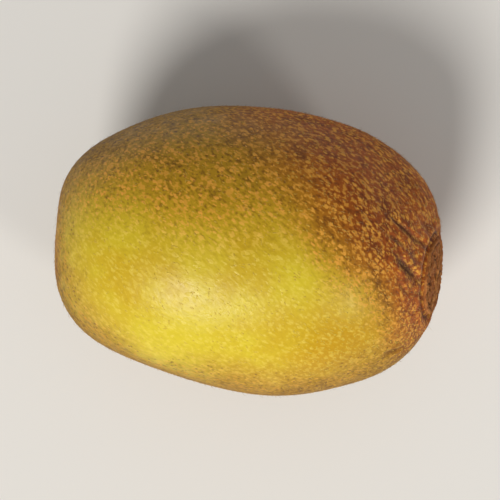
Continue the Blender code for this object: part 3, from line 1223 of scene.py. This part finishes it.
class KIWI_OT_lenticels(bpy.types.Operator):
    """Builds the small raised corky dashes in the skin"""

    bl_idname = "kiwi.lenticels"
    bl_label = "Lenticels"

    def execute(self, context):
        shape = context.scene.kiwi_shape
        lenticels = context.scene.kiwi_lenticels
        count = lenticels.count
        random = np.random.default_rng(lenticels.seed)
        stem = stem_middle(shape)

        def likely(middles):
            from_stem = np.linalg.norm(middles - stem, axis=1)
            crowd = 0.55 + 0.9 * (1.0 - smooth_step(*DASH_CROWD, from_stem))
            clear = smooth_step(*DASH_CLEARANCE, from_stem)
            return clear * crowd * (middles[:, 2] > DASH_LEAST_HEIGHT)

        place, normal, ahead = scatter(bpy.data.objects["kiwi_skin"], count, random, likely)
        heading = turned(ahead, normal, random.normal(-0.62, 0.38, count))
        aside = np.cross(normal, heading)
        half_length = lenticels.length / 2 * np.clip(random.lognormal(0.0, 0.35, count), 0.4, 2.0)
        half_width = lenticels.width / 2 * random.uniform(0.6, 1.25, count)
        # Includes the painted shade of the side away from the lamp and of the underside
        brown = brownness(skin_zones(place, shape))
        rise = lenticels.rise * random.uniform(0.5, 1.2, count) * (0.3 + 0.7 * brown)
        tone = np.clip(random.normal(0.62, 0.25, count), 0.0, 1.0)
        ragged = random.uniform(0.62, 1.25, (count, DASH_STEPS))

        corners = 2 * DASH_STEPS + 2
        points = np.empty((count, corners, 3))
        for ring, (share, level) in enumerate(DASH_RINGS):
            for step in range(DASH_STEPS):
                angle = TAU * step / DASH_STEPS
                reach = share * ragged[:, step]
                along = heading * (half_length * reach * math.cos(angle))[:, None]
                across = aside * (half_width * reach * math.sin(angle))[:, None]
                lift = normal * (rise * level)[:, None]
                points[:, ring * DASH_STEPS + step] = place + along + across + lift
        points[:, -2] = place + normal * rise[:, None]
        points[:, -1] = place - normal * (rise * 1.2)[:, None]
        faces = []
        for step in range(DASH_STEPS):
            following = (step + 1) % DASH_STEPS
            faces.append((step, following, following + DASH_STEPS, step + DASH_STEPS))
            faces.append((step + DASH_STEPS, following + DASH_STEPS, corners - 2))
            faces.append((following, step, corners - 1))
        dashes = add_mesh("lenticels", points.reshape(-1, 3), repeated(faces, count, corners))
        set_attributes(dashes, tone=np.repeat(tone, corners), brownness=np.repeat(brown, corners))
        finish_piece(dashes, lenticel_material(lenticels))
        return {"FINISHED"}


class KIWI_OT_hairs(bpy.types.Operator):
    """Builds the short fine hairs that are left on the skin"""

    bl_idname = "kiwi.hairs"
    bl_label = "Hairs"

    def execute(self, context):
        shape = context.scene.kiwi_shape
        hairs = context.scene.kiwi_hairs
        count = hairs.count
        random = np.random.default_rng(hairs.seed)
        stem = stem_middle(shape)

        def likely(middles):
            clear = smooth_step(*HAIR_CLEARANCE, np.linalg.norm(middles - stem, axis=1))
            # Includes the painted shade of the side away from the lamp and of the underside
            brown = brownness(skin_zones(middles, shape))
            return clear * (middles[:, 2] > HAIR_LEAST_HEIGHT) * (0.03 + 0.97 * brown**2)

        root, normal, ahead = scatter(bpy.data.objects["kiwi_skin"], count, random, likely)
        heading = turned(ahead, normal, random.normal(-0.6, 0.5, count))
        length = hairs.length * np.clip(random.lognormal(0.0, 0.4, count), 0.35, 2.2)
        lean = random.uniform(0.15, 0.75, count)
        tone = np.clip(random.normal(0.6, 0.3, count), 0.0, 1.0)
        aside = np.cross(normal, heading)
        middle = root + heading * (0.5 * length)[:, None] + normal * (0.5 * length * lean)[:, None]
        tip = root + heading * length[:, None] + normal * (0.55 * length * lean)[:, None]
        sunk = root - normal * HAIR_ROOT_DEPTH

        corners = 2 * HAIR_SIDES + 1
        points = np.empty((count, corners, 3))
        for ring, (centre, share) in enumerate(((sunk, 1.0), (middle, 0.75))):
            for side in range(HAIR_SIDES):
                angle = TAU * side / HAIR_SIDES
                out = aside * math.cos(angle) + normal * math.sin(angle)
                points[:, ring * HAIR_SIDES + side] = centre + out * (hairs.thickness / 2 * share)
        points[:, -1] = tip
        faces = [tuple(reversed(range(HAIR_SIDES)))]
        for side in range(HAIR_SIDES):
            following = (side + 1) % HAIR_SIDES
            faces.append((side, following, following + HAIR_SIDES, side + HAIR_SIDES))
            faces.append((side + HAIR_SIDES, following + HAIR_SIDES, corners - 1))
        down = add_mesh("skin_hairs", points.reshape(-1, 3), repeated(faces, count, corners))
        set_attributes(down, tone=np.repeat(tone, corners))
        finish_piece(down, hair_material(hairs))
        return {"FINISHED"}


def add_lamp(name, strength, direction, spread, colour):
    """A far round lamp that lights the whole floor evenly, with a soft shadow."""
    data = bpy.data.lights.new(name, "SUN")
    data.angle = spread
    data.energy = strength
    data.color = colour
    lamp = bpy.data.objects.new(name, data)
    lamp.rotation_euler = Vector(direction).to_track_quat("Z", "Y").to_euler()
    bpy.context.scene.collection.objects.link(lamp)


def add_sky(stage):
    """Soft light from all round, and a plain backdrop as pale as the floor."""
    world = bpy.data.worlds.new("soft_sky")
    world.use_nodes = True
    tree = world.node_tree
    sky = tree.nodes["Background"]
    sky.inputs["Color"].default_value = (*stage.sky_colour, 1.0)
    sky.inputs["Strength"].default_value = stage.sky_strength
    backdrop = add_node(tree, "ShaderNodeBackground")
    backdrop.inputs["Color"].default_value = (*stage.backdrop_colour, 1.0)
    share = add_node(tree, "ShaderNodeMixShader")
    tree.links.new(add_node(tree, "ShaderNodeLightPath").outputs["Is Camera Ray"], share.inputs[0])
    tree.links.new(sky.outputs["Background"], share.inputs[1])
    tree.links.new(backdrop.outputs["Background"], share.inputs[2])
    tree.links.new(share.outputs["Shader"], tree.nodes["World Output"].inputs["Surface"])
    bpy.context.scene.world = world


class KIWI_OT_stage(bpy.types.Operator):
    """Builds the plain floor, the soft lamps and the camera that looks straight down"""

    bl_idname = "kiwi.stage"
    bl_label = "Stage"

    def execute(self, context):
        stage = context.scene.kiwi_stage
        corners = [(-1.0, -1.0, 0.0), (1.0, -1.0, 0.0), (1.0, 1.0, 0.0), (-1.0, 1.0, 0.0)]
        floor = add_mesh("pale_floor", np.array(corners) * stage.floor_side / 2, [(0, 1, 2, 3)])
        floor.data.materials.append(floor_material(stage))

        add_sky(stage)
        add_lamp("key_lamp", stage.key_strength, *KEY_LAMP)
        add_lamp("side_lamp", stage.side_strength, *SIDE_LAMP)

        data = bpy.data.cameras.new("camera")
        data.lens = stage.lens
        data.sensor_width = SENSOR_WIDTH
        data.clip_start = 0.01
        data.clip_end = 20.0
        camera = bpy.data.objects.new("camera", data)
        middle = (FRUIT_LOW + FRUIT_HIGH) / 2
        distance = stage.view_width * stage.lens / SENSOR_WIDTH
        camera.location = (middle.x, middle.y, middle.z + distance)
        camera.rotation_euler = (0.0, 0.0, stage.roll)
        context.scene.collection.objects.link(camera)
        context.scene.camera = camera
        context.scene.view_settings.view_transform = "Standard"
        return {"FINISHED"}


class KIWI_PT_panel(bpy.types.Panel):
    """Lists the steps that build the fruit"""

    bl_idname = "KIWI_PT_panel"
    bl_label = "Golden Kiwi Fruit"
    bl_space_type = "VIEW_3D"
    bl_region_type = "UI"
    bl_category = "Kiwi Fruit"

    def draw(self, context):
        for operator in OPERATORS:
            self.layout.operator(operator.bl_idname)


SETTINGS = {
    "kiwi_shape": KiwiShape,
    "kiwi_skin": KiwiSkin,
    "kiwi_stem_scar": KiwiStemScar,
    "kiwi_flower_remains": KiwiFlowerRemains,
    "kiwi_lenticels": KiwiLenticels,
    "kiwi_hairs": KiwiHairs,
    "kiwi_stage": KiwiStage,
}
OPERATORS = (
    KIWI_OT_skin,
    KIWI_OT_stem_scar,
    KIWI_OT_flower_remains,
    KIWI_OT_lenticels,
    KIWI_OT_hairs,
    KIWI_OT_stage,
)


def register():
    for name, settings in SETTINGS.items():
        bpy.utils.register_class(settings)
        setattr(bpy.types.Scene, name, PointerProperty(type=settings))
    for cls in (*OPERATORS, KIWI_PT_panel):
        bpy.utils.register_class(cls)


def unregister():
    for cls in reversed((*OPERATORS, KIWI_PT_panel)):
        bpy.utils.unregister_class(cls)
    for name, settings in reversed(SETTINGS.items()):
        delattr(bpy.types.Scene, name)
        bpy.utils.unregister_class(settings)


def main():
    register()
    bpy.ops.kiwi.skin()
    bpy.ops.kiwi.stem_scar()
    bpy.ops.kiwi.flower_remains()
    bpy.ops.kiwi.lenticels()
    bpy.ops.kiwi.hairs()
    bpy.ops.kiwi.stage()


if __name__ == "__main__":
    main()
